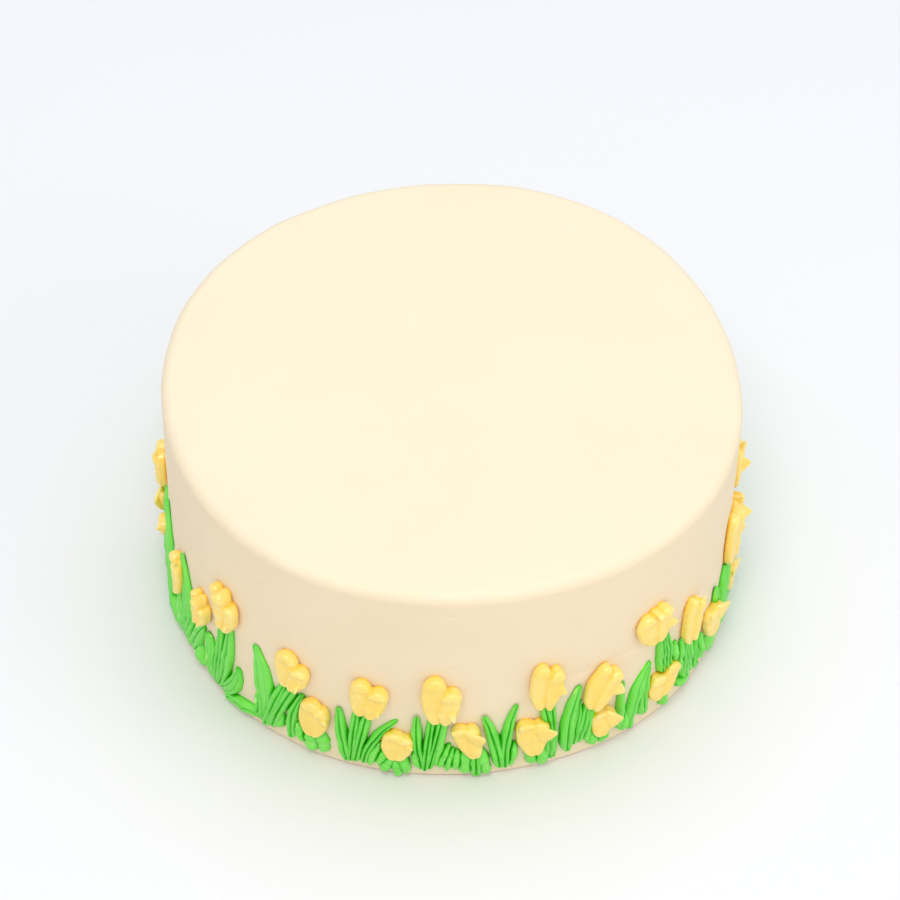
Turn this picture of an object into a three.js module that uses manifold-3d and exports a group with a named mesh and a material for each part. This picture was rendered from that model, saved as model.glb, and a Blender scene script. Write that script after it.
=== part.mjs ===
// A round iced cake, uncut, with piped tulips and leaves all round the foot of its wall.
// Millimetres, +Z up, origin on the underside at the middle; the front of the cake faces -Y.
import * as THREE from 'three';
import { mergeVertices } from 'three/addons/utils/BufferGeometryUtils.js';
import Module from 'manifold-3d';

const wasm = await Module();
wasm.setup();

// Driving dimensions
const CAKE_RADIUS = 100;        // across the icing: 200
const CAKE_HEIGHT = 93;
const RIM_ROUNDING = 4;         // soft upper edge
const FOOT_ROUNDING = 1.2;      // lower edge
const PETAL_DEPTH = 4.4;        // how far a petal stands off the wall
const LEAF_DEPTH = 3;
const LEAF_WIDTH = 5.2;
const PEAK_ROOT = 1.4;          // how far off the wall a pulled peak starts
const SKIN_GAP = 0.3;           // between a piped piece and the icing behind or beside it
const LOWEST_PIPING = 1.2;      // every piped piece stays this far above the underside
const SLIVER = 0.2;             // facets thinner than this that a join or a cut leaves are smoothed away

// The wall is not truly round: waves round the cake as [count, cosine, sine], the angle from +X.
const WALL_WAVES = [[2, -0.51, 0.24], [3, -0.29, -0.41], [4, -0.61, -0.79]];

const icing = new THREE.MeshStandardMaterial({ color: 0xfdf3da, roughness: 0.6, metalness: 0 });
const yellow = new THREE.MeshStandardMaterial({ color: 0xfcd25e, roughness: 0.5, metalness: 0 });
const green = new THREE.MeshStandardMaterial({ color: 0x35c545, roughness: 0.5, metalness: 0 });

// Places on the wall are given as [along, up]: millimetres round the wall from the front,
// to the right as seen from outside, and millimetres above the underside.
function wallRadius(angleFromFront) {
  const t = angleFromFront - Math.PI / 2;
  const wave = ([n, c, s]) => c * Math.cos(n * t) + s * Math.sin(n * t);
  return CAKE_RADIUS + WALL_WAVES.reduce((sum, w) => sum + wave(w), 0);
}

function onWall(along, up, out) {
  const angle = along / CAKE_RADIUS;
  const r = wallRadius(angle) + SKIN_GAP + out;
  return [r * Math.sin(angle), -r * Math.cos(angle), Math.max(up, LOWEST_PIPING)];
}

// Repeatable random numbers
let seed = 20417;
function random(low = 0, high = 1) {
  seed = (seed * 16807) % 2147483647;
  return low + (high - low) * (seed / 2147483647);
}

// A stroke of icing. Its section is a ring of [side, depth] in parts of its half width and
// depth; each station is [place along the stroke, share of half width, share of depth].
const LEAF = {
  section: [[-0.95, 0], [-0.5, 1], [0.5, 1], [0.95, 0]],
  stations: [[0, 0, 0.4], [0.08, 0.95, 0.85], [0.45, 1, 1], [0.9, 0.5, 0.6], [1, 0, 0.3]],
};
const PETAL = {
  section: [[-1, 0.4], [-0.55, 0.95], [0.55, 0.95], [1, 0.4], [0.6, 0], [-0.6, 0]],
  stations: [[0, 0, 0.5], [0.08, 0.72, 0.98], [0.36, 1, 0.98], [0.7, 0.88, 0.94], [0.93, 0.55, 0.85],
    [1, 0, 0.5]],
};
const PEAK = {
  section: [[-1, 0.3], [0, 1], [1, 0.3], [0, 0]],
  stations: [[0, 0, 0.5], [0.25, 1, 1], [1, 0, 0.3]],
};

// The path bends evenly through [along, up, out] at its start, middle and end.
function pathPoint(path, s) {
  const [a, m, b] = path;
  return a.map((v, i) => {
    const pull = 2 * m[i] - (v + b[i]) / 2;
    return (1 - s) * (1 - s) * v + 2 * s * (1 - s) * pull + s * s * b[i];
  });
}

function strokeGeometry({ style, path, halfWidth, depth }, grow) {
  const { section, stations } = style;
  const sides = section.length;
  const rings = stations.length - 1;
  const ball = new THREE.SphereGeometry(1, sides, rings);
  const { position, uv } = ball.attributes;
  const ends = [pathPoint(path, 0), pathPoint(path, 1)];
  const length = Math.hypot(ends[1][0] - ends[0][0], ends[1][1] - ends[0][1]);
  for (let i = 0; i < position.count; i++) {
    const [place, wide, deep] = stations[Math.round((1 - uv.getY(i)) * rings)];
    const [side, rise] = section[(Math.round(uv.getX(i) * sides) + sides) % sides];
    const [along, up, out] = pathPoint(path, place);
    const next = pathPoint(path, place + 0.01);
    const step = Math.hypot(next[0] - along, next[1] - up);
    const ahead = [(next[0] - along) / step, (next[1] - up) / step];
    const atEnd = place === 0 || place === 1;
    const across = atEnd ? 0 : side * (wide * halfWidth + grow);
    const lift = atEnd ? deep * depth : rise * (deep * depth + grow);
    const stretch = (2 * place - 1) * grow * Math.min(1, length);
    const point = onWall(along + ahead[0] * stretch - ahead[1] * across,
      up + ahead[1] * stretch + ahead[0] * across, out + lift - (rise === 0 && !atEnd ? grow : 0));
    position.setXYZ(i, ...point);
  }
  return ball;
}

// Joins and cuts
function toSolid(geometry) {
  geometry.deleteAttribute('normal');
  geometry.deleteAttribute('uv');
  const merged = mergeVertices(geometry, 1e-4);
  const vertProperties = new Float32Array(merged.attributes.position.array);
  const triVerts = new Uint32Array(merged.index.array);
  return new wasm.Manifold(new wasm.Mesh({ numProp: 3, vertProperties, triVerts }));
}

function joined(strokes, grow = 0) {
  return strokes.map((stroke) => toSolid(strokeGeometry(stroke, grow))).reduce((a, b) => a.add(b));
}

// Cuts the pieces that lie over this one out of it, and drops loose scraps.
function cutBack(solid, cutters) {
  const left = cutters.reduce((rest, cutter) => rest.subtract(cutter), solid);
  return left.asOriginal().simplify(SLIVER).decompose().sort((a, b) => b.volume() - a.volume())[0];
}

function toMesh(name, solid, material) {
  const { vertProperties, triVerts } = solid.getMesh();
  const geometry = new THREE.BufferGeometry();
  geometry.setAttribute('position', new THREE.BufferAttribute(vertProperties, 3));
  geometry.setIndex(new THREE.BufferAttribute(triVerts, 1));
  geometry.computeVertexNormals();
  const mesh = new THREE.Mesh(geometry, material);
  mesh.name = name;
  return mesh;
}

// The iced body: a turned outline whose wall follows the waves.
function cakeBody() {
  const TURN_STEPS = 56;
  const RIM_STEPS = 3;
  const WALL_ROWS = 1;
  const CROWN_RING = 0.6;
  const outline = [[0, 0], [CAKE_RADIUS - FOOT_ROUNDING, 0]];
  for (let row = 0; row <= WALL_ROWS; row++) {
    const wallTop = CAKE_HEIGHT - RIM_ROUNDING;
    outline.push([CAKE_RADIUS, FOOT_ROUNDING + (wallTop - FOOT_ROUNDING) * (row / WALL_ROWS)]);
  }
  for (let k = 1; k <= RIM_STEPS; k++) {
    const turn = (Math.PI / 2) * (k / RIM_STEPS);
    const inset = RIM_ROUNDING * (1 - Math.cos(turn));
    outline.push([CAKE_RADIUS - inset, CAKE_HEIGHT - RIM_ROUNDING * (1 - Math.sin(turn))]);
  }
  outline.push([CAKE_RADIUS * CROWN_RING, CAKE_HEIGHT], [0, CAKE_HEIGHT]);
  const points = outline.map(([r, z]) => new THREE.Vector2(r, z));
  const body = new THREE.LatheGeometry(points, TURN_STEPS).rotateX(Math.PI / 2);
  const { position } = body.attributes;
  for (let i = 0; i < position.count; i++) {
    const [x, y] = [position.getX(i), position.getY(i)];
    const scale = wallRadius(Math.atan2(x, -y)) / CAKE_RADIUS;
    position.setXYZ(i, x * scale, y * scale, position.getZ(i));
  }
  return toSolid(body);
}

// Tulips. Each kind lists its petals as [top, middle, foot, width], places as [right, up] in
// parts of the bloom's half width and half height and the width in parts of the whole width,
// then its pulled peaks, where the icing broke away, as [root, point, reach, radius]: how far
// the point stands off the wall and the radius at the root in millimetres.
const KINDS = {
  tulip: {
    petals: [[[-0.3, 1], [-0.34, 0.1], [-0.25, -1], 0.66], [[0.48, 0.52], [0.44, -0.1], [0.15, -0.95], 0.56]],
    peaks: [[[0.4, -0.45], [0.58, -0.8], 5.6, 1.5]],
  },
  goblet: {
    petals: [[[-0.2, 1], [-0.42, 0.1], [-0.3, -1], 0.58], [[0.55, 0.78], [0.4, 0], [0.15, -1], 0.56]],
    peaks: [[[0.5, -0.2], [1.02, -0.38], 4.2, 1.7]],
  },
  slanted: {
    petals: [[[0.1, 1], [-0.45, 0.1], [-0.6, -0.9], 0.52], [[0.62, 0.72], [0.25, -0.1], [-0.35, -1], 0.52]],
    peaks: [[[0.45, -0.05], [1.08, -0.3], 3.6, 2]],
  },
  heart: {
    petals: [[[-0.42, 1], [-0.4, 0.05], [-0.3, -1], 0.6], [[0.5, 0.78], [0.42, 0], [0.18, -0.95], 0.58]],
    peaks: [[[0.3, -0.5], [0.5, -0.8], 5.4, 1.4]],
  },
  cup: {
    petals: [[[-0.2, 1], [-0.18, 0.05], [-0.2, -1], 0.82], [[0.42, 0.8], [0.45, 0], [0.15, -0.95], 0.55]],
    peaks: [[[0.6, -0.2], [0.85, -0.45], 4.6, 1.3]],
  },
  spout: {
    petals: [[[-0.45, 0.95], [-0.4, 0.25], [-0.1, -1], 0.6], [[0.3, 0.85], [0.15, 0.1], [0.15, -0.95], 0.54]],
    peaks: [[[0.3, 0.3], [1.12, 0.15], 4.6, 2.4], [[-0.6, 0.6], [-0.85, 1], 2.6, 1.8]],
  },
  rolled: {
    petals: [[[-0.25, 0.8], [-0.42, 0], [-0.05, -1], 0.58], [[0.5, 0.6], [0.4, 0], [0.15, -0.95], 0.56],
      [[-0.62, 0.72], [0, 0.95], [0.62, 0.8], 0.3]],
    peaks: [[[0.5, 0], [1.1, -0.12], 3.6, 1.8]],
  },
  armed: {
    petals: [[[-0.5, 0.5], [-0.4, -0.2], [-0.1, -1], 0.6], [[0.8, 0.95], [0.5, 0], [0.2, -0.95], 0.42]],
    peaks: [],
  },
  slim: {
    petals: [[[-0.1, 1], [-0.3, 0], [-0.3, -1], 0.66], [[0.5, 0.85], [0.4, 0], [0.2, -0.95], 0.55]],
    peaks: [[[0.4, 0.6], [0.75, 1], 3.4, 1.3]],
  },
  ruffled: {
    petals: [[[-0.5, 0.95], [-0.5, 0.1], [-0.25, -0.95], 0.48], [[0.45, 0.5], [0.45, -0.1], [0.25, -1], 0.54],
      [[0.1, 1], [0.05, 0.2], [0, -0.9], 0.46]],
    peaks: [[[0.4, -0.5], [0.6, -0.85], 5, 1.4]],
  },
  flared: {
    petals: [[[-0.25, 0.85], [-0.35, 0], [-0.2, -1], 0.6], [[0.45, 0.6], [0.4, -0.1], [0.15, -0.95], 0.56]],
    peaks: [[[-0.25, 0.6], [-0.3, 1.12], 3.2, 1.5], [[0.3, -0.3], [0.6, -0.5], 7.4, 2.4]],
  },
};

function bloomStrokes([kind, along, up, width, height, lean]) {
  const tilt = THREE.MathUtils.degToRad(lean);
  const place = ([x, y], out = 0) => {
    const [right, rise] = [(x * width) / 2, (y * height) / 2];
    return [along + right * Math.cos(tilt) + rise * Math.sin(tilt),
      up + rise * Math.cos(tilt) - right * Math.sin(tilt), out];
  };
  const { petals, peaks } = KINDS[kind];
  const strokes = petals.map(([top, middle, foot, share], i) => ({
    style: PETAL,
    path: [place(top), place(middle), place(foot)],
    halfWidth: (share * width) / 2,
    depth: PETAL_DEPTH * (1 + 0.12 * i),
  }));
  for (const [root, point, reach, radius] of peaks) {
    const between = [(root[0] + point[0]) / 2, (root[1] + point[1]) / 2];
    strokes.push({
      style: PEAK,
      path: [place(root, PEAK_ROOT), place(between, (PEAK_ROOT + reach) / 2), place(point, reach)],
      halfWidth: radius,
      depth: 2 * radius,
    });
  }
  return strokes;
}

// The tulips in view from the front: kind, along, up, width, height, lean to the right in degrees.
// The lower row lies over the upper one, so it comes first.
const FRONT_BLOOMS = [
  ['spout', -158, 26, 8.5, 11, 0], ['cup', -147, 25, 7, 8, 0], ['ruffled', -96, 37, 10.2, 14.3, 4],
  ['cup', -44, 21.8, 11, 18.3, 4], ['cup', -15.3, 18, 11, 14, 3], ['spout', 9.2, 21.6, 11, 17.8, -12],
  ['spout', 31, 19.2, 13.5, 18.8, 0], ['spout', 56, 15.9, 10.8, 13.8, 8],
  ['armed', 81, 19, 11.5, 14.8, 8], ['spout', 113, 21.3, 14, 15, 0], ['spout', 139, 15.5, 11, 14, 0],
  ['flared', 150, 36.5, 13, 17, 0], ['slim', -157.5, 45.5, 12, 19.5, 0],
  ['slim', -116, 34.3, 11, 17.5, -4], ['ruffled', -81.2, 51.6, 13.2, 19, 0],
  ['tulip', -52, 42, 13, 17, 6], ['heart', -25, 40.2, 12.7, 17.4, 5],
  ['tulip', -1, 43.2, 13.2, 23.1, 0], ['goblet', 34, 44.9, 11.6, 22, 1],
  ['slanted', 54.8, 35.5, 12.8, 20.8, 6], ['rolled', 74.5, 53.7, 13.4, 17, -4],
  ['slim', 94.5, 39.7, 8.6, 21.6, 2], ['goblet', 131, 45, 14, 24, 0], ['flared', 162, 49, 14, 22.5, 0],
];

// The leaves and stems in view from the front. Each stroke runs from its foot to its tip as
// [along, up, along, up, bend to the right at its middle, width in parts of the usual one].
const FRONT_TUFTS = [
  [[-159, 4, -165, 27, 0, 0.95], [-155.8, 4.5, -158.5, 38, 0, 0.75], [-152.5, 4, -155.5, 38, 0, 0.75],
    [-143.5, 4.6, -162.5, 4.6, 0, 0.75], [-132, 4, -136, 50, 2, 0.9], [-145, 3, -144, 27, 0, 0.9],
    [-115.5, 4.5, -147, 4, 0, 0.9], [-112.5, 6, -113, 47.5, 4, 0.9], [-116, 5, -121.5, 17, 1.2, 1],
    [-113.5, 5, -114, 25.5, 1.5, 0.9], [-109, 4, -107, 20, -1, 1], [-105, 5.5, -96.5, 26, -0.8, 1],
    [-98.7, 4, -101, 13, 0, 1.2]],
  [[-91.5, 4.5, -93.5, 26, 1, 1.2], [-89, 4, -85, 41, 1.2, 0.75], [-87, 5, -80, 45, 1.8, 0.85],
    [-85.2, 4.5, -76.6, 23, 2.2, 1.05], [-83, 2.8, -63.5, 6.5, -1.5, 0.8],
    [-65.3, 6, -68, 43.3, 2.4, 1.3], [-66.5, 6, -65.8, 22.5, 0, 0.8],
    [-64, 4.5, -54.5, 34.8, -0.3, 0.8], [-61, 6, -50.2, 36, -0.6, 0.8],
    [-58.5, 7.5, -56.8, 16, 0, 0.7]],
  [[-53, 5.5, -48.5, 30.5, -1.6, 0.75], [-48.6, 6.5, -50.6, 15.5, 0, 0.6], [-45.3, 4, -45.6, 15, 0, 1],
    [-41, 5, -42.8, 16, 0.3, 0.85]],
  [[-32.5, 4, -35.5, 31, -0.4, 0.8], [-31.3, 4.5, -28.8, 36, 0, 0.65], [-29.7, 5, -24.9, 35.5, 0, 0.7],
    [-26.7, 5, -15.4, 30, -2.4, 0.6], [-24.6, 5, -20.8, 17.6, -0.6, 0.6],
    [-21.6, 6, -19, 13.6, 0, 0.65], [-20, 3, -16.6, 12, 0, 0.75], [-15, 1.8, -15.6, 12, 0, 0.75],
    [-12, 3.5, -14, 13, 0, 0.65]],
  [[-7, 6, -9, 33.5, -0.8, 0.7], [-8.3, 7, -9.4, 17, -0.5, 0.5], [-6, 5, -3.3, 37, -0.3, 0.6],
    [-4.5, 6, 0.3, 38, 0, 0.6], [-2.4, 8.5, 1.3, 36, 0, 0.5], [-1, 7.5, 2.2, 19, -0.3, 0.5],
    [1.5, 5, 3.5, 17, -0.4, 0.5], [4.2, 6, 4.8, 16, 0, 0.6], [7.6, 3.8, 7.7, 16, 0, 0.8],
    [11.5, 1.8, 10.8, 16, 0, 0.8], [14.8, 3.3, 12.6, 16, 0, 0.75]],
  [[19.4, 5, 13.4, 33, 0.7, 0.8], [21.3, 4.5, 24.5, 37, -1.5, 0.7], [23, 5.5, 24.2, 17.6, 0.4, 0.5]],
  [[36.8, 4.5, 33.2, 38, 0.9, 0.8], [38, 5, 36.5, 38, 0, 0.65], [30.7, 4.5, 28.8, 15, 0, 0.7],
    [34.5, 3, 34, 15, -0.2, 0.9]],
  [[43.5, 5.5, 46.7, 39, -1.9, 0.9], [45.2, 8.5, 47.3, 31, -0.5, 0.6], [46.9, 9, 50.6, 31, -0.3, 0.75],
    [50, 8.5, 51.8, 29, 0, 0.55], [53.3, 4.5, 51.6, 14, 0, 0.75], [55.7, 4.5, 58.5, 11, 0, 0.75]],
  [[64, 5.5, 63.6, 31.5, -0.5, 0.55], [67.5, 3.8, 75.2, 33.5, -2.2, 0.85],
    [74, 7, 75.4, 30.5, -1.8, 0.8], [65, 5, 67, 15, -0.5, 0.7]],
  [[80.3, 24, 78.8, 46.5, -0.5, 0.65], [83.3, 23.5, 82, 46.5, 0, 0.7], [86.5, 22.5, 87.2, 34, 0, 1],
    [90.5, 14, 90.8, 33, -1, 0.85], [95.7, 7.5, 94.5, 32, -1.6, 0.95], [98, 8.5, 97, 31, -1.2, 0.75],
    [101.8, 6.5, 101.2, 21.5, -1, 1], [105.5, 8.5, 105.5, 21, -1, 0.8], [89, 8, 98, 6, -0.5, 0.75],
    [83.5, 6.5, 91, 7.5, -0.4, 0.4], [83.5, 4.5, 82.8, 13, 0, 0.75]],
  [[115, 4, 112, 16, -0.4, 1.2], [119.5, 4.5, 115, 35, 0, 0.85], [118, 4.5, 124.5, 15, 0, 1.1],
    [127, 4, 126, 17, 0, 1.1], [131.5, 4.5, 127, 34, -4, 1.1], [130.5, 4.5, 131.5, 38, 0, 0.8],
    [140, 4.5, 138.5, 11, 0, 1.1], [146.5, 4, 149.5, 31, 0, 0.8], [150.5, 4, 145, 22, 0, 0.9],
    [154.5, 4, 160.5, 41, 0, 0.75], [157.5, 4.5, 163.5, 41, 0, 0.7], [161, 4, 169, 26, 0, 0.9],
    [126, 4.6, 164.5, 4.6, 0, 0.75]],
];

// The far side carries the same planting: runs of plants, each a tall tulip on two stems
// above a low one, with leaves that fan out from the foot.
const FAR_RUNS = [3, 2, 3, 2];
const PLANT_STEP = 23;
const RUN_STEP = 35;
const FAR_SIDE_START = 190;
const UPPER_KINDS = ['tulip', 'heart', 'goblet', 'ruffled', 'slanted', 'rolled', 'slim'];
const LOWER_KINDS = ['cup', 'spout', 'armed'];

function pick(list) {
  return list[Math.floor(random(0, list.length))];
}

function farPlant(along) {
  const lower = [pick(LOWER_KINDS), along + random(4, 6), random(19, 22), random(10.5, 12.5),
    random(14, 17), random(0, 12)];
  const upper = [pick(UPPER_KINDS), along + random(-5, -2), random(45, 50), random(11.5, 13.5),
    random(17, 22), random(-4, 6)];
  const stemTop = upper[2] - upper[4] * 0.35;
  const strokes = [
    [along - 2, 5, upper[1] - 1.3, stemTop, 0, 0.75], [along + 0.5, 5.5, upper[1] + 1.3, stemTop, 0, 0.7],
    [along - 4, 4.5, along - random(9, 11), random(28, 36), -1, 1],
    [along - 5, 5, along - random(12, 13), random(14, 20), 0, 0.8],
    [along + 4, 4, along + 4.5, 13, 0, 1.2],
    [along + 9, 4.5, along + random(12, 14), random(26, 34), -1, 1.1],
  ];
  return { lower, upper, strokes };
}

function farSide() {
  const lowers = [];
  const uppers = [];
  const tufts = [];
  let along = FAR_SIDE_START;
  for (const count of FAR_RUNS) {
    const strokes = [];
    for (let k = 0; k < count; k++) {
      const plant = farPlant(along);
      lowers.push(plant.lower);
      uppers.push(plant.upper);
      strokes.push(...plant.strokes);
      const last = k === count - 1;
      const between = [[along + 11, 4.5, along + 16, 13, 0, 0.9], [along + 16, 5, along + 15, 12, 0, 1.1]];
      if (!last) strokes.push(...between);
      along += last ? RUN_STEP : PLANT_STEP;
    }
    tufts.push(strokes);
  }
  return { blooms: [...lowers, ...uppers], tufts };
}

function leafStroke([along, up, tipAlong, tipUp, bend, share]) {
  const length = Math.hypot(tipAlong - along, tipUp - up);
  const middle = [(along + tipAlong) / 2 + (bend * (tipUp - up)) / length,
    (up + tipUp) / 2 - (bend * (tipAlong - along)) / length, 0];
  return {
    style: LEAF,
    path: [[along, up, 0], middle, [tipAlong, tipUp, 0]],
    halfWidth: (share * LEAF_WIDTH) / 2,
    depth: LEAF_DEPTH,
  };
}

const cake = new THREE.Group();
cake.add(toMesh('cake', cakeBody(), icing));

const far = farSide();
const over = [];
[...FRONT_BLOOMS, ...far.blooms].forEach((bloom, i) => {
  const strokes = bloomStrokes(bloom);
  cake.add(toMesh(`tulip_${i + 1}`, cutBack(joined(strokes), over), yellow));
  over.push(joined(strokes, SKIN_GAP));
});
[...FRONT_TUFTS, ...far.tufts].forEach((tuft, i) => {
  const strokes = tuft.map(leafStroke);
  cake.add(toMesh(`leaves_${i + 1}`, cutBack(joined(strokes), over), green));
  over.push(joined(strokes, SKIN_GAP));
});

export default cake;
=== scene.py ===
"""A round iced cake with tulips and leaves piped round the foot of its wall: its finished surfaces."""
import math

import bpy
import numpy as np
from mathutils import Matrix, Vector, noise


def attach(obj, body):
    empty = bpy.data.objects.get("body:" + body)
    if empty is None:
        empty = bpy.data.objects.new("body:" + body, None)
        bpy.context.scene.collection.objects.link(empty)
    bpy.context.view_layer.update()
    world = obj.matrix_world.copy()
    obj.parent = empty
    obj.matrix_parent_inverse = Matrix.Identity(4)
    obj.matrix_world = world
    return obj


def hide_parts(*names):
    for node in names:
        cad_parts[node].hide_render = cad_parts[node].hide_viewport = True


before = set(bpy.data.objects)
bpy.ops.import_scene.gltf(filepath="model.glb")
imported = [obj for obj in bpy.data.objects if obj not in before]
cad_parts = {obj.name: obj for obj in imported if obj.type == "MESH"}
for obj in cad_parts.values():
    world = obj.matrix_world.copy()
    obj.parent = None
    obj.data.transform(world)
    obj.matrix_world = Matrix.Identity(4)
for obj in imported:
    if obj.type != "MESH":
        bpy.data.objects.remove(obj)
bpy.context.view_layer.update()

# Sizes in millimetres; MM turns them into metres.
MM = 0.001
PIPING_SEED = 977
BODY_SEED = 5303
CAKE_RADIUS = 100.0
CAKE_HEIGHT = 93.0
RIM_ROUNDING = 4.0
FOOT_ROUNDING = 1.2
PETAL_DEPTH = 4.4
LEAF_DEPTH = 3.0
LEAF_WIDTH = 6.0            # soft icing spreads a little wider than the plain strokes of the solids
STUB_LENGTH = 14            # shorter leaves are smooth
RIDGE_STEP = 2.4            # between the ridges that the nozzle leaves along a leaf
PEAK_ROOT = 1.4
PEAK_SHRINK = 1.2           # what the softening takes off a peak's point
PEAK_SPREAD = 1.25          # half width of a peak, in parts of its radius
PEAK_BULK = 1.5             # depth of a peak, in parts of its radius
FLAG_DEPTH = 3.2            # the most that a broad peak is deep
FIRST_PETAL_DEPTH = 0.95    # in parts of the usual depth
TALL_PETAL_STEP = 0.22      # how much deeper each further petal of a tall tulip is
LOW_PETAL_STEP = 0.06       # and of a low one
SKIN_GRAIN = 0.32           # spacing of the points of a softened skin
TALL_SOFTENING = 4          # rounds of smoothing of a tall tulip
LOW_SOFTENING = 7           # and of a low one
PETAL_UNEVEN = (0.22, 4.5)  # height and grain of the petals' unevenness
LEAF_UNEVEN = (0.2, 3)      # and of the leaves'
LEAF_CREASE = 45            # leaf edges sharper than this many degrees stay sharp
PAINTED_SHADE_REACH = 1.3         # how near two faces are where painted shade deepens the icing's colour
LOWEST_PIPING = 1.0
SINK = 0.35                 # how far the piping presses into the icing behind it
WALL_WAVES = [(2, -0.51, 0.24), (3, -0.29, -0.41), (4, -0.61, -0.79)]


def smooth(edge0, edge1, x):
    t = np.clip((x - edge0) / (edge1 - edge0), 0, 1)
    return t * t * (3 - 2 * t)


# Repeatable random numbers: the planting on the far side follows from the first seed.
class Dice:
    def __init__(self, seed):
        self.seed = seed

    def roll(self, low=0.0, high=1.0):
        self.seed = (self.seed * 16807) % 2147483647
        return low + (high - low) * (self.seed / 2147483647)

    def pick(self, values):
        return values[int(self.roll(0, len(values)))]


def wall_radius(angle_from_front):
    t = angle_from_front - math.pi / 2
    return CAKE_RADIUS + sum(c * np.cos(n * t) + s * np.sin(n * t) for n, c, s in WALL_WAVES)


def on_wall(along, up, out):
    """Points of the wall in metres, from millimetres round it, above the underside and outwards."""
    angle = along / CAKE_RADIUS
    r = wall_radius(angle) + out
    return np.stack([r * np.sin(angle), -r * np.cos(angle), np.maximum(up, LOWEST_PIPING)], -1) * MM


# Meshes
def mesh_object(name, points, faces):
    mesh = bpy.data.meshes.new(name)
    mesh.from_pydata([tuple(p) for p in points], [], faces)
    mesh.validate()
    obj = bpy.data.objects.new(name, mesh)
    bpy.context.scene.collection.objects.link(obj)
    return obj


def tube_faces(rings, sides):
    """Faces of a closed skin: a pole, rings of points, and a pole."""
    first = [(0, 1 + (k + 1) % sides, 1 + k) for k in range(sides)]
    last = 1 + rings * sides
    base = last - sides
    end = [(last, base + k, base + (k + 1) % sides) for k in range(sides)]
    walls = []
    for j in range(rings - 1):
        a = 1 + j * sides
        for k in range(sides):
            n = (k + 1) % sides
            walls.append((a + k, a + n, a + sides + n, a + sides + k))
    return first + walls + end


# Strokes of icing. A style gives the half width and depth along the stroke and the rise of its
# section from side to side, all as shares of the stroke's own half width and depth.
def leaf_width(s):
    foot = np.sqrt(np.clip(1 - (1 - np.clip(s / 0.09, 0, 1)) ** 2, 0, 1))
    tip = np.sqrt(np.clip(1 - np.clip((s - 0.94) / 0.06, 0, 1) ** 2, 0, 1))
    return foot * tip * (1 - 0.5 * smooth(0.6, 1.0, s) ** 1.2)


def leaf_depth(s):
    return 0.8 + 0.22 * smooth(0.02, 0.25, s) - 0.5 * smooth(0.5, 1, s)


def petal_width(s):
    peak = 0.4
    top = np.clip(1 - np.abs(1 - np.minimum(s, peak) / peak) ** 2.7, 0, 1) ** 0.5
    low = np.clip(1 - (np.maximum(s - peak, 0) / (1 - peak)) ** 2.6, 0, 1) ** 0.5
    return top * low


def petal_depth(s):
    return 0.94 + 0.12 * np.exp(-((s - 0.15) / 0.1) ** 2)


def peak_width(s):
    return np.sqrt(np.clip(1 - (1 - np.clip(s / 0.2, 0, 1)) ** 2, 0, 1)) * (1 - s) ** 0.75


def peak_depth(s):
    return 1 - 0.65 * s


def domed(turn, lobes):
    """A section with a nearly flat face and round edges."""
    side = np.sign(np.cos(turn)) * np.abs(np.cos(turn)) ** 0.75
    edge = 0.4
    face = edge + (1 - edge) * np.abs(np.sin(turn)) ** 0.6
    return side, np.where(np.sin(turn) > 0, face, edge * (1 + np.sin(turn)))


def ridged(turn, lobes):
    """A section with sharp grooves between round ridges, as a leaf nozzle leaves it."""
    side = np.sign(np.cos(turn)) * np.abs(np.cos(turn)) ** 0.8
    edge = np.clip(1 - np.abs(side) ** 3.5, 0, 1) ** 0.5
    ridge = np.abs(np.sin(math.pi * lobes * (side + 1) / 2)) ** 0.55
    back = 0.12
    front = back + (1 - back) * edge * (0.58 + 0.42 * ridge)
    return side * 0.98, np.where(np.sin(turn) > 0, front, back * (1 + np.sin(turn)))


STYLES = {
    "petal": {"width": petal_width, "depth": petal_depth, "section": domed,
              "rings": 30, "sides": 32, "wobble": 0.02},
    "leaf": {"width": leaf_width, "depth": leaf_depth, "section": ridged,
             "rings": 24, "sides": 44, "wobble": 0.07},
    "peak": {"width": peak_width, "depth": peak_depth, "section": domed,
             "rings": 12, "sides": 18, "wobble": 0.0},
}


def double_wave(s, slow, fast, starts):
    """A slow wave with a smaller, faster one on it."""
    return np.sin(2 * math.pi * slow * s + starts[0]) + 0.6 * np.sin(2 * math.pi * fast * s + starts[1])


def stroke_skin(stroke, dice):
    """Points in metres of a stroke's closed skin: a pole, rings, a pole."""
    style = STYLES[stroke["style"]]
    rings, sides = style["rings"], style["sides"]
    s = (1 - np.cos(math.pi * np.arange(rings + 2) / (rings + 1))) / 2
    a, m, b = (np.array(p, float) for p in stroke["path"])
    pull = 2 * m - (a + b) / 2
    t = s[:, None]
    line = (1 - t) ** 2 * a + 2 * t * (1 - t) * pull + t ** 2 * b
    run = np.gradient(line[:, :2], s, axis=0)
    run /= np.linalg.norm(run, axis=1)[:, None] + 1e-9
    waver = [dice.roll(0, 2 * math.pi) for _ in range(4)]
    swell = 1 + style["wobble"] * double_wave(s, 1.4, 3.3, waver[:2])
    dip = 1 + style["wobble"] * double_wave(s, 1.9, 4.1, waver[2:])
    half = style["width"](s) * stroke["half_width"] * swell
    deep = style["depth"](s) * stroke["depth"] * dip
    turn = math.pi - 2 * math.pi * np.arange(sides) / sides
    side, rise = style["section"](turn, stroke.get("lobes", 2))
    closing = np.sqrt(np.clip(1 - (1 - np.clip(half / (0.6 * stroke["half_width"]), 0, 1)) ** 2, 0, 1))
    middle = 0.4
    out = deep[:, None] * (middle + (rise[None, :] - middle) * closing[:, None])
    across = half[:, None] * side[None, :]
    along = line[:, 0:1] - run[:, 1:2] * across
    up = line[:, 1:2] + run[:, 0:1] * across
    return on_wall(along, up, line[:, 2:3] + out - SINK)


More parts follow.
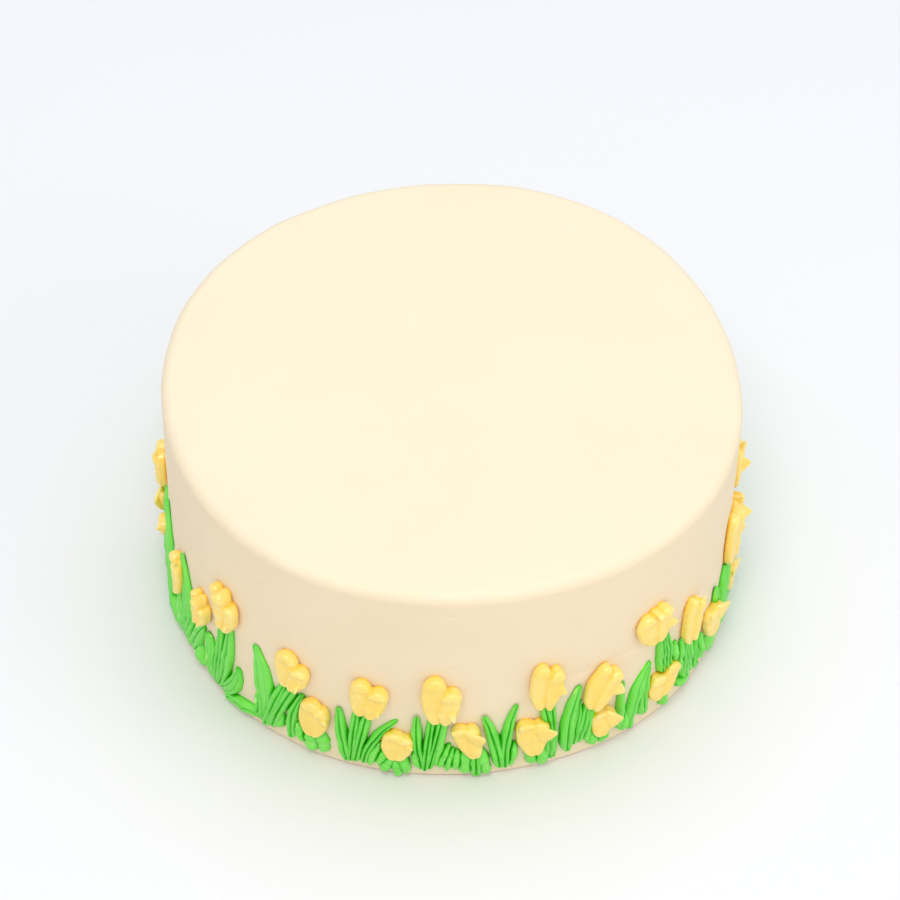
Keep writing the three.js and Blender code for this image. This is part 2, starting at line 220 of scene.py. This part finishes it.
def stroke_object(stroke, dice):
    grid = stroke_skin(stroke, dice)
    rings, sides = grid.shape[0] - 2, grid.shape[1]
    points = [grid[0, 0]] + list(grid[1:-1].reshape(-1, 3)) + [grid[-1, 0]]
    return mesh_object("stroke", points, tube_faces(rings, sides))


def joined(name, strokes, dice):
    """One clean skin round all the strokes."""
    parts = [stroke_object(stroke, dice) for stroke in strokes]
    whole = parts[0]
    if len(parts) > 1:
        others = bpy.data.collections.new("others")
        bpy.context.scene.collection.children.link(others)
        for part in parts[1:]:
            others.objects.link(part)
        union = whole.modifiers.new("union", "BOOLEAN")
        union.operation = "UNION"
        union.operand_type = "COLLECTION"
        union.collection = others
        union.solver = "MANIFOLD"
        skin = bpy.data.meshes.new_from_object(whole.evaluated_get(bpy.context.evaluated_depsgraph_get()))
        whole.modifiers.clear()
        whole.data = skin
        for part in parts[1:]:
            bpy.data.objects.remove(part)
        bpy.data.collections.remove(others)
    whole.name = name
    whole.data.name = name
    return whole


def softened(obj, grain, rounds):
    """Melts the seams between the strokes into one skin."""
    remesh = obj.modifiers.new("even skin", "REMESH")
    remesh.mode = "VOXEL"
    remesh.voxel_size = grain * MM
    rounding = obj.modifiers.new("soft seams", "SMOOTH")
    rounding.factor = 0.5
    rounding.iterations = rounds
    skin = bpy.data.meshes.new_from_object(obj.evaluated_get(bpy.context.evaluated_depsgraph_get()))
    obj.modifiers.clear()
    obj.data = skin


def roughen(obj, height, grain):
    """Moves the skin in and out by a soft, even unevenness."""
    mesh = obj.data
    for vertex, normal in zip(mesh.vertices, [n.vector.copy() for n in mesh.vertex_normals]):
        vertex.co += normal * (noise.noise(vertex.co / (grain * MM)) * height * MM)


def shade(obj, crease_degrees):
    obj.data.shade_smooth()
    obj.data.set_sharp_from_angle(angle=math.radians(crease_degrees))


# Tulips: each kind lists its petals as (top, middle, foot, width) and its pulled peaks as
# (root, point, reach, radius). Places and widths are parts of the bloom's half width and half
# height; the reach outwards and the radius are in millimetres.
KINDS = {
    "tulip": (
        [((-0.3, 1), (-0.34, 0.1), (-0.25, -1), 0.66),
         ((0.48, 0.52), (0.44, -0.1), (0.15, -0.95), 0.56)],
        [((0.4, -0.15), (0.68, -0.52), 5.4, 1.8)]),
    "goblet": (
        [((-0.2, 1), (-0.42, 0.1), (-0.3, -1), 0.58), ((0.55, 0.78), (0.4, 0), (0.15, -1), 0.56)],
        [((0.45, 0), (1.02, -0.16), 4.2, 2.9)]),
    "slanted": (
        [((0.1, 1), (-0.45, 0.1), (-0.6, -0.9), 0.52), ((0.62, 0.72), (0.25, -0.1), (-0.35, -1), 0.52)],
        [((0.35, 0), (1.1, -0.3), 3.8, 3.2)]),
    "heart": (
        [((-0.42, 1), (-0.4, 0.05), (-0.3, -1), 0.6), ((0.5, 0.78), (0.42, 0), (0.18, -0.95), 0.58)],
        [((0.4, -0.15), (0.76, -0.42), 5, 1.6)]),
    "cup": (
        [((-0.2, 1), (-0.18, 0.05), (-0.2, -1), 0.82), ((0.42, 0.8), (0.45, 0), (0.15, -0.95), 0.55)],
        [((0.5, 0.3), (1.06, 0.32), 3.6, 1.9)]),
    "spout": (
        [((-0.45, 0.95), (-0.4, 0.25), (-0.1, -1), 0.6),
         ((0.3, 0.85), (0.15, 0.1), (0.15, -0.95), 0.54)],
        [((0.05, 0.25), (0.97, 0.46), 4.2, 4.8), ((-0.55, 0.55), (-0.9, 1), 2.6, 1.8)]),
    "rolled": (
        [((-0.3, 0.86), (-0.42, 0), (-0.05, -1), 0.62), ((0.52, 0.96), (0.46, 0.1), (0.15, -0.95), 0.5),
         ((-0.1, 0.8), (0.08, 0.84), (0.3, 0.8), 0.18)],
        [((0.4, 0.05), (1.12, -0.12), 3.8, 3)]),
    "armed": (
        [((-0.45, 0.66), (-0.4, -0.2), (-0.05, -1), 0.7),
         ((0.74, 0.98), (0.5, 0), (0.15, -0.95), 0.64)],
        []),
    "slim": (
        [((-0.1, 1), (-0.3, 0), (-0.3, -1), 0.66), ((0.5, 0.85), (0.4, 0), (0.2, -0.95), 0.55)],
        [((0.4, 0.6), (0.75, 1), 3.4, 1.3)]),
    "ruffled": (
        [((-0.5, 0.95), (-0.5, 0.1), (-0.25, -0.95), 0.48),
         ((0.45, 0.5), (0.45, -0.1), (0.25, -1), 0.54), ((0.1, 1), (0.05, 0.2), (0, -0.9), 0.46)],
        [((0.4, -0.3), (0.66, -0.62), 4.8, 1.6)]),
    "flared": (
        [((-0.25, 0.85), (-0.35, 0), (-0.2, -1), 0.6), ((0.45, 0.6), (0.4, -0.1), (0.15, -0.95), 0.56)],
        [((-0.25, 0.6), (-0.3, 1.14), 3.2, 1.8), ((0.25, -0.3), (0.62, -0.5), 7.4, 3.2)]),
}


def bloom_strokes(kind, along, up, width, height, lean):
    tilt = math.radians(lean)

    def place(spot, out=0.0):
        right, rise = spot[0] * width / 2, spot[1] * height / 2
        return (along + right * math.cos(tilt) + rise * math.sin(tilt),
                up + rise * math.cos(tilt) - right * math.sin(tilt), out)

    petals, peaks = KINDS[kind]
    step = LOW_PETAL_STEP if kind in LOWER_KINDS else TALL_PETAL_STEP
    strokes = []
    for i, (top, middle, foot, share) in enumerate(petals):
        strokes.append({"style": "petal", "path": (place(top), place(middle), place(foot)),
                        "half_width": share * width / 2,
                        "depth": PETAL_DEPTH * (FIRST_PETAL_DEPTH + step * i)})
    for root, point, reach, radius in peaks:
        reach += PEAK_SHRINK
        between = ((root[0] + point[0]) / 2, (root[1] + point[1]) / 2)
        path = (place(root, PEAK_ROOT), place(between, (PEAK_ROOT + reach) / 2), place(point, reach))
        strokes.append({"style": "peak", "path": path, "half_width": PEAK_SPREAD * radius,
                        "depth": min(PEAK_BULK * radius, FLAG_DEPTH)})
    return strokes


# The tulips in view from the front: kind, along, up, width, height, lean to the right in degrees.
FRONT_BLOOMS = [
    ("spout", -158, 26, 8.5, 11, 0), ("cup", -147, 25, 7, 8, 0), ("ruffled", -96, 37, 10.2, 14.3, 4),
    ("cup", -44, 21.8, 11, 18.3, 4), ("cup", -15.3, 18, 11, 14, 3), ("spout", 9.2, 21.6, 11, 17.8, -12),
    ("spout", 31, 19.2, 13.5, 18.8, 0), ("spout", 56, 15.9, 10.8, 13.8, 8),
    ("armed", 81, 19, 11.5, 14.8, 8), ("spout", 113, 21.3, 14, 15, 0), ("spout", 139, 15.5, 11, 14, 0),
    ("flared", 150, 36.5, 13, 17, 0), ("slim", -157.5, 45.5, 12, 19.5, 0),
    ("slim", -116, 34.3, 11, 17.5, -4), ("ruffled", -81.2, 51.6, 13.2, 19, 0),
    ("tulip", -52, 42, 13, 17, 6), ("heart", -25, 40.2, 12.7, 17.4, 5),
    ("tulip", -1, 43.2, 13.2, 23.1, 0), ("goblet", 34, 44.9, 11.6, 22, 1),
    ("slanted", 54.8, 35.5, 12.8, 20.8, 6), ("rolled", 74.5, 53.7, 13.4, 17, -4),
    ("slim", 94.5, 39.7, 8.6, 21.6, 2), ("goblet", 131, 45, 14, 24, 0),
    ("flared", 162, 49, 14, 22.5, 0),
]

# The leaves and stems in view from the front: along and up of the foot, along and up of the tip,
# bend to the right at the middle, and width in parts of the usual one.
FRONT_TUFTS = [
    [(-159, 4, -165, 27, 0, 0.95), (-155.8, 4.5, -158.5, 38, 0, 0.75), (-152.5, 4, -155.5, 38, 0, 0.75),
     (-143.5, 4.6, -162.5, 4.6, 0, 0.75), (-132, 4, -136, 50, 2, 0.9), (-145, 3, -144, 27, 0, 0.9),
     (-115.5, 4.5, -147, 4, 0, 0.9), (-112.5, 6, -113, 47.5, 4, 0.9), (-116, 5, -121.5, 17, 1.2, 1),
     (-113.5, 5, -114, 25.5, 1.5, 0.9), (-109, 4, -107, 20, -1, 1), (-105, 5.5, -96.5, 26, -0.8, 1),
     (-98.7, 4, -101, 13, 0, 1.2)],
    [(-91.5, 4.5, -93.5, 26, 1, 1.2), (-89, 4, -85, 41, 1.2, 0.75), (-87, 5, -80, 45, 1.8, 0.85),
     (-85.2, 4.5, -76.6, 23, 2.2, 1.05), (-83, 2.8, -63.5, 6.5, -1.5, 0.8),
     (-65.3, 6, -68, 43.3, 2.4, 1.3), (-66.5, 6, -65.8, 22.5, 0, 0.8),
     (-64, 4.5, -54.5, 34.8, -0.3, 0.8), (-61, 6, -50.2, 36, -0.6, 0.8),
     (-58.5, 7.5, -56.8, 16, 0, 0.7)],
    [(-53, 5.5, -48.5, 30.5, -1.6, 0.75), (-48.6, 6.5, -50.6, 15.5, 0, 0.6),
     (-45.3, 4, -45.6, 15, 0, 1), (-41, 5, -42.8, 16, 0.3, 0.85)],
    [(-32.5, 4, -35.5, 31, -0.4, 0.8), (-31.3, 4.5, -28.8, 36, 0, 0.65),
     (-29.7, 5, -24.9, 35.5, 0, 0.7), (-26.7, 5, -15.4, 30, -2.4, 0.6),
     (-24.6, 5, -20.8, 17.6, -0.6, 0.6), (-21.6, 6, -19, 13.6, 0, 0.65), (-20, 3, -16.6, 12, 0, 0.75),
     (-15, 1.8, -15.6, 12, 0, 0.75), (-12, 3.5, -14, 13, 0, 0.65)],
    [(-7, 6, -9, 33.5, -0.8, 0.7), (-8.3, 7, -9.4, 17, -0.5, 0.5), (-6, 5, -3.3, 37, -0.3, 0.6),
     (-4.5, 6, 0.3, 38, 0, 0.6), (-2.4, 8.5, 1.3, 36, 0, 0.5), (-1, 7.5, 2.2, 19, -0.3, 0.5),
     (1.5, 5, 3.5, 17, -0.4, 0.5), (4.2, 6, 4.8, 16, 0, 0.6), (7.6, 3.8, 7.7, 16, 0, 0.8),
     (11.5, 1.8, 10.8, 16, 0, 0.8), (14.8, 3.3, 12.6, 16, 0, 0.75)],
    [(19.4, 5, 13.4, 33, 0.7, 0.8), (21.3, 4.5, 24.5, 37, -1.5, 0.7), (23, 5.5, 24.2, 17.6, 0.4, 0.5)],
    [(36.8, 4.5, 33.2, 38, 0.9, 0.8), (38, 5, 36.5, 38, 0, 0.65), (30.7, 4.5, 28.8, 15, 0, 0.7),
     (34.5, 3, 34, 15, -0.2, 0.9)],
    [(43.5, 5.5, 46.7, 39, -1.9, 0.9), (45.2, 8.5, 47.3, 31, -0.5, 0.6),
     (46.9, 9, 50.6, 31, -0.3, 0.75), (50, 8.5, 51.8, 29, 0, 0.55), (53.3, 4.5, 51.6, 14, 0, 0.75),
     (55.7, 4.5, 58.5, 11, 0, 0.75)],
    [(64, 5.5, 63.6, 31.5, -0.5, 0.55), (67.5, 3.8, 75.2, 33.5, -2.2, 0.85),
     (74, 7, 75.4, 30.5, -1.8, 0.8), (65, 5, 67, 15, -0.5, 0.7)],
    [(81, 24, 79.5, 46.5, -0.5, 0.6), (84, 23.5, 81, 46.5, 0, 0.6), (87, 22.5, 87.5, 34, 0, 0.6),
     (91.5, 15, 91.5, 33, -1, 0.5), (95.7, 7.5, 94.5, 32, -1.6, 0.75), (98.2, 8.5, 97, 31, -1.2, 0.55),
     (102, 6.5, 101.4, 21.5, -1, 0.65), (105.5, 8.5, 105.5, 21, -1, 0.6), (90, 8, 98.5, 6, -0.5, 0.6),
     (83.5, 4.5, 82.8, 13, 0, 0.6)],
    [(115, 4, 112, 16, -0.4, 1.2), (119.5, 4.5, 115, 35, 0, 0.85), (118, 4.5, 124.5, 15, 0, 1.1),
     (127, 4, 126, 17, 0, 1.1), (131.5, 4.5, 127, 34, -4, 1.1), (130.5, 4.5, 131.5, 38, 0, 0.8),
     (140, 4.5, 138.5, 11, 0, 1.1), (146.5, 4, 149.5, 31, 0, 0.8), (150.5, 4, 145, 22, 0, 0.9),
     (154.5, 4, 160.5, 41, 0, 0.75), (157.5, 4.5, 163.5, 41, 0, 0.7), (161, 4, 169, 26, 0, 0.9),
     (126, 4.6, 164.5, 4.6, 0, 0.75)],
]

# The far side: runs of plants, each a tall tulip on two stems above a low one.
FAR_RUNS = [3, 2, 3, 2]
PLANT_STEP = 23
RUN_STEP = 35
FAR_SIDE_START = 190
FAR_SIDE_SEED = 20417
UPPER_KINDS = ["tulip", "heart", "goblet", "ruffled", "slanted", "rolled", "slim"]
LOWER_KINDS = ["cup", "spout", "armed"]


def far_plant(along, dice):
    roll = dice.roll
    lower = (dice.pick(LOWER_KINDS), along + roll(4, 6), roll(19, 22),
             roll(10.5, 12.5), roll(14, 17), roll(0, 12))
    upper = (dice.pick(UPPER_KINDS), along + roll(-5, -2), roll(45, 50),
             roll(11.5, 13.5), roll(17, 22), roll(-4, 6))
    stem_top = upper[2] - upper[4] * 0.35
    leaves = [
        (along - 2, 5, upper[1] - 1.3, stem_top, 0, 0.75),
        (along + 0.5, 5.5, upper[1] + 1.3, stem_top, 0, 0.7),
        (along - 4, 4.5, along - roll(9, 11), roll(28, 36), -1, 1),
        (along - 5, 5, along - roll(12, 13), roll(14, 20), 0, 0.8),
        (along + 4, 4, along + 4.5, 13, 0, 1.2),
        (along + 9, 4.5, along + roll(12, 14), roll(26, 34), -1, 1.1),
    ]
    return lower, upper, leaves


def far_side():
    dice = Dice(FAR_SIDE_SEED)
    lowers, uppers, tufts = [], [], []
    along = FAR_SIDE_START
    for count in FAR_RUNS:
        leaves = []
        for k in range(count):
            lower, upper, fan = far_plant(along, dice)
            lowers.append(lower)
            uppers.append(upper)
            leaves += fan
            last = k == count - 1
            if not last:
                leaves.append((along + 11, 4.5, along + 16, 13, 0, 0.9))
                leaves.append((along + 16, 5, along + 15, 12, 0, 1.1))
            along += RUN_STEP if last else PLANT_STEP
        tufts.append(leaves)
    return lowers + uppers, tufts


def leaf_stroke(leaf, dice):
    along, up, tip_along, tip_up, bend, share = leaf
    length = math.hypot(tip_along - along, tip_up - up)
    middle = ((along + tip_along) / 2 + bend * (tip_up - up) / length,
              (up + tip_up) / 2 - bend * (tip_along - along) / length, 0)
    return {"style": "leaf", "path": ((along, up, 0), middle, (tip_along, tip_up, dice.roll(0, 1.0))),
            "half_width": share * LEAF_WIDTH / 2, "depth": LEAF_DEPTH * dice.roll(0.9, 1.1),
            "lobes": 1 if length < STUB_LENGTH else max(1, round(share * LEAF_WIDTH / RIDGE_STEP))}


# The iced body
def faded(distance):
    """1 at no distance, falling softly to 0 at 1."""
    return np.clip(1 - distance ** 2, 0, 1) ** 2


def spatula_marks(angle, up, dice):
    """How far the spatula's faint streaks and nicks move the wall in and out, in millimetres."""
    streaks, nicks = 34, 40
    offset = np.zeros(np.broadcast(angle, up).shape)
    for k in range(streaks + nicks):
        streak = k < streaks
        middle, height = dice.roll(-math.pi, math.pi), dice.roll(24, CAKE_HEIGHT - 6)
        reach = dice.roll(0.25, 1.2) if streak else dice.roll(0.012, 0.03)
        breadth = dice.roll(2.5, 6) if streak else dice.roll(0.7, 1.1)
        depth = dice.roll(-0.14, 0.1) if streak else -dice.roll(0.15, 0.4)
        slope = dice.roll(-1.2, 1.2)
        turn = (angle - middle + math.pi) % (2 * math.pi) - math.pi
        offset += depth * faded(turn / reach) * faded((up - height - slope * turn) / breadth)
    return offset


def rim_dips(angle, dice):
    """A hand-smoothed rim: its height and reach vary a little round the cake."""
    waves = [(count, dice.roll(0.03, 0.16), dice.roll(0, 2 * math.pi)) for count in (2, 3, 5, 8, 13, 21)]
    return sum(size * np.sin(count * angle + start) for count, size, start in waves)


def cake_body():
    """A fine turned skin: wall, soft rim and crown, with faint marks of the spatula."""
    around = 840
    wall_rows, rim_rows, crown_rows = 130, 16, 44
    outline = [(CAKE_RADIUS - FOOT_ROUNDING, 0.0)]
    wall_top = CAKE_HEIGHT - RIM_ROUNDING
    for k in range(wall_rows + 1):
        outline.append((CAKE_RADIUS, FOOT_ROUNDING + (wall_top - FOOT_ROUNDING) * k / wall_rows))
    for k in range(1, rim_rows + 1):
        turn = math.pi / 2 * k / rim_rows
        outline.append((CAKE_RADIUS - RIM_ROUNDING * (1 - math.cos(turn)),
                        wall_top + RIM_ROUNDING * math.sin(turn)))
    edge = CAKE_RADIUS - RIM_ROUNDING
    for k in range(1, crown_rows):
        outline.append((edge * (1 - k / crown_rows), CAKE_HEIGHT))
    outline = np.array(outline)
    r, z = outline[:, 0:1], outline[:, 1:2]
    angle = 2 * math.pi * np.arange(around)[None, :] / around
    dice = Dice(BODY_SEED)
    on_the_wall = smooth(CAKE_RADIUS - 2, CAKE_RADIUS, r)
    near_rim = np.exp(-((r - edge) / 5) ** 2) * smooth(wall_top - 8, CAKE_HEIGHT, z)
    out = r * wall_radius(angle) / CAKE_RADIUS + on_the_wall * spatula_marks(angle, z, dice)
    out = out + near_rim * rim_dips(angle, dice)
    up = z - near_rim * np.abs(rim_dips(angle, dice))
    grid = np.stack([out * np.sin(angle), -out * np.cos(angle), up], -1)
    points = np.concatenate([[(0, 0, 0)], grid.reshape(-1, 3), [(0, 0, CAKE_HEIGHT)]])
    return mesh_object("iced_cake", points * MM, tube_faces(len(outline), around))


# Materials
def new_material(name):
    material = bpy.data.materials.new(name)
    material.use_nodes = True
    tree = material.node_tree
    return material, tree, tree.nodes["Principled BSDF"]


def noise_node(tree, scale, detail, vector):
    node = tree.nodes.new("ShaderNodeTexNoise")
    node.inputs["Scale"].default_value = scale
    node.inputs["Detail"].default_value = detail
    tree.links.new(vector, node.inputs["Vector"])
    return node


def ramp(tree, factor, stops):
    node = tree.nodes.new("ShaderNodeValToRGB")
    while len(node.color_ramp.elements) < len(stops):
        node.color_ramp.elements.new(0.5)
    for element, (position, color) in zip(node.color_ramp.elements, stops):
        element.position = position
        element.color = (*color, 1)
    tree.links.new(factor, node.inputs["Fac"])
    return node.outputs["Color"]


def linear(r, g, b):
    """Scene colour of a screen colour given in 0 to 255."""
    return tuple((c / 255 / 12.92) if c <= 10 else ((c / 255 + 0.055) / 1.055) ** 2.4 for c in (r, g, b))


def mix_math(tree, operation, first, second):
    node = tree.nodes.new("ShaderNodeMath")
    node.operation = operation
    for socket, value in zip(node.inputs, (first, second)):
        if isinstance(value, float):
            socket.default_value = value
        else:
            tree.links.new(value, socket)
    return node.outputs[0]


def grained(tree, shader, place, scale, height):
    """Fine unevenness of the skin."""
    bump = tree.nodes.new("ShaderNodeBump")
    bump.inputs["Strength"].default_value = 0.3
    bump.inputs["Distance"].default_value = height * MM
    tree.links.new(noise_node(tree, scale, 4, place).outputs["Fac"], bump.inputs["Height"])
    tree.links.new(bump.outputs["Normal"], shader.inputs["Normal"])


def spread_icing():
    """The smooth cream of the body, very faintly mottled."""
    material, tree, shader = new_material("cream_icing")
    place = tree.nodes.new("ShaderNodeTexCoord").outputs["Object"]
    mottle = noise_node(tree, 28, 3, place).outputs["Fac"]
    color = ramp(tree, mottle, [(0.3, linear(239, 221, 188)), (0.7, linear(242, 224, 192))])
    tree.links.new(color, shader.inputs["Base Color"])
    shader.inputs["Roughness"].default_value = 0.55
    shader.inputs["Specular IOR Level"].default_value = 0.3
    grained(tree, shader, place, 160, 0.35)
    return material


def piped_icing(name, shade_to_highlight_colors, roughness, gloss):
    """Coloured cream with painted shade in its creases and grooves, painted highlight on its thin edges
    and ridges, a faint random mottle, and light spreading under the skin.
    """
    material, tree, shader = new_material(name)
    place = tree.nodes.new("ShaderNodeTexCoord").outputs["Object"]
    # Painted shade: ambient occlusion within this reach deepens the colour in creases, grooves and
    # between petals.
    painted_shade = tree.nodes.new("ShaderNodeAmbientOcclusion")
    painted_shade.inputs["Distance"].default_value = PAINTED_SHADE_REACH * MM
    painted_shade.samples = 6
    mottle = noise_node(tree, 110, 2, place).outputs["Fac"]
    shift = mix_math(tree, "MULTIPLY", mottle, 0.24)
    painted_shade_and_mottle = mix_math(tree, "ADD", mix_math(tree, "SUBTRACT", painted_shade.outputs["AO"], 0.12), shift)
    # Painted highlight and shade: pointiness makes thin edges and leaf ridges paler, and hollows and
    # grooves deeper in colour.
    bend = tree.nodes.new("ShaderNodeNewGeometry").outputs["Pointiness"]
    edge = mix_math(tree, "MULTIPLY", mix_math(tree, "SUBTRACT", bend, 0.5), 2.5)
    factor = mix_math(tree, "ADD", mix_math(tree, "MULTIPLY", painted_shade_and_mottle, 0.8), edge)
    # The ramp turns painted shade, painted highlight and mottle into colour.
    color = ramp(tree, factor, list(zip((0.24, 0.54, 0.78, 0.95), shade_to_highlight_colors)))
    tree.links.new(color, shader.inputs["Base Color"])
    shader.inputs["Roughness"].default_value = roughness
    shader.inputs["Specular IOR Level"].default_value = gloss
    shader.inputs["Subsurface Weight"].default_value = 0.08
    shader.inputs["Subsurface Radius"].default_value = (1.0, 0.8, 0.5)
    shader.inputs["Subsurface Scale"].default_value = 0.0012
    grained(tree, shader, place, 420, 0.3)
    return material


cream = spread_icing()
# Icing colours from painted shade (first) through the icing's own colours to painted highlight (last).
YELLOW_SHADE_TO_HIGHLIGHT = [linear(255, 200, 12), linear(255, 206, 52), linear(255, 217, 90), linear(255, 234, 148)]
GREEN_SHADE_TO_HIGHLIGHT = [linear(42, 182, 10), linear(70, 208, 36), linear(120, 229, 78), linear(172, 244, 120)]
yellow = piped_icing("yellow_icing", YELLOW_SHADE_TO_HIGHLIGHT, 0.3, 0.95)
green = piped_icing("green_icing", GREEN_SHADE_TO_HIGHLIGHT, 0.32, 0.7)


def finish_piece(obj, material, slot, *nodes):
    obj.data.materials.clear()
    obj.data.materials.append(material)
    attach(obj, "root")
    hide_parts(*nodes)


body = cake_body()
body.data.shade_smooth()
finish_piece(body, cream, "cream_icing", "cake")

far_blooms, far_tufts = far_side()
touch = Dice(PIPING_SEED)
for i, bloom in enumerate(FRONT_BLOOMS + far_blooms, 1):
    piece = joined(f"piped_tulip_{i}", bloom_strokes(*bloom), touch)
    softened(piece, SKIN_GRAIN, LOW_SOFTENING if bloom[0] in LOWER_KINDS else TALL_SOFTENING)
    roughen(piece, *PETAL_UNEVEN)
    piece.data.shade_smooth()
    finish_piece(piece, yellow, "yellow_icing", f"tulip_{i}")
for i, tuft in enumerate(FRONT_TUFTS + far_tufts, 1):
    piece = joined(f"piped_leaves_{i}", [leaf_stroke(leaf, touch) for leaf in tuft], touch)
    roughen(piece, *LEAF_UNEVEN)
    shade(piece, LEAF_CREASE)
    finish_piece(piece, green, "green_icing", f"leaves_{i}")


# Stage: floor, light and the photograph's camera
def floor():
    size = 3.0
    corners = [(-size, -size, 0), (size, -size, 0), (size, size, 0), (-size, size, 0)]
    obj = mesh_object("floor", corners, [(0, 1, 2, 3)])
    material, tree, shader = new_material("pale_floor")
    shader.inputs["Base Color"].default_value = (0.82, 0.8, 0.785, 1)
    shader.inputs["Roughness"].default_value = 0.8
    obj.data.materials.append(material)


def area_light(name, place, target, size, power, color):
    light = bpy.data.lights.new(name, "AREA")
    light.shape = "DISK"
    light.size = size
    light.energy = power
    light.color = color
    obj = bpy.data.objects.new(name, light)
    obj.location = place
    obj.rotation_euler = (Vector(target) - Vector(place)).to_track_quat("-Z", "Y").to_euler()
    bpy.context.scene.collection.objects.link(obj)


def surroundings():
    world = bpy.data.worlds.new("room")
    world.use_nodes = True
    background = world.node_tree.nodes["Background"]
    background.inputs["Color"].default_value = (0.99, 0.985, 1.0, 1)
    background.inputs["Strength"].default_value = 0.75
    bpy.context.scene.world = world
    area_light("key", (0.1, 0.35, 1.7), (0, 0, 0.05), 1.4, 9, (0.46, 0.7, 1))
    area_light("side", (1.2, -0.5, 0.8), (0, 0, 0.05), 0.9, 2.8, (1, 0.94, 0.86))
    area_light("front", (-0.15, -0.85, 1.65), (0, 0, 0.05), 0.8, 10.5, (1, 0.98, 0.92))


def camera():
    """The photograph's viewpoint: elevation, distance and slight roll found from the cake's outline."""
    elevation = 46.97
    distance = 1.099
    roll = 1.47
    target = Vector((-0.00025, 0, 0.0563))
    data = bpy.data.cameras.new("camera")
    data.sensor_width = 36
    data.lens = 126
    obj = bpy.data.objects.new("camera", data)
    up = math.radians(elevation)
    place = Matrix.Translation(target + distance * Vector((0, -math.cos(up), math.sin(up))))
    tilt = Matrix.Rotation(math.pi / 2 - up, 4, "X") @ Matrix.Rotation(math.radians(roll), 4, "Z")
    obj.matrix_world = place @ tilt
    bpy.context.scene.collection.objects.link(obj)
    bpy.context.scene.camera = obj


floor()
surroundings()
camera()
bpy.context.scene.view_settings.view_transform = "Standard"
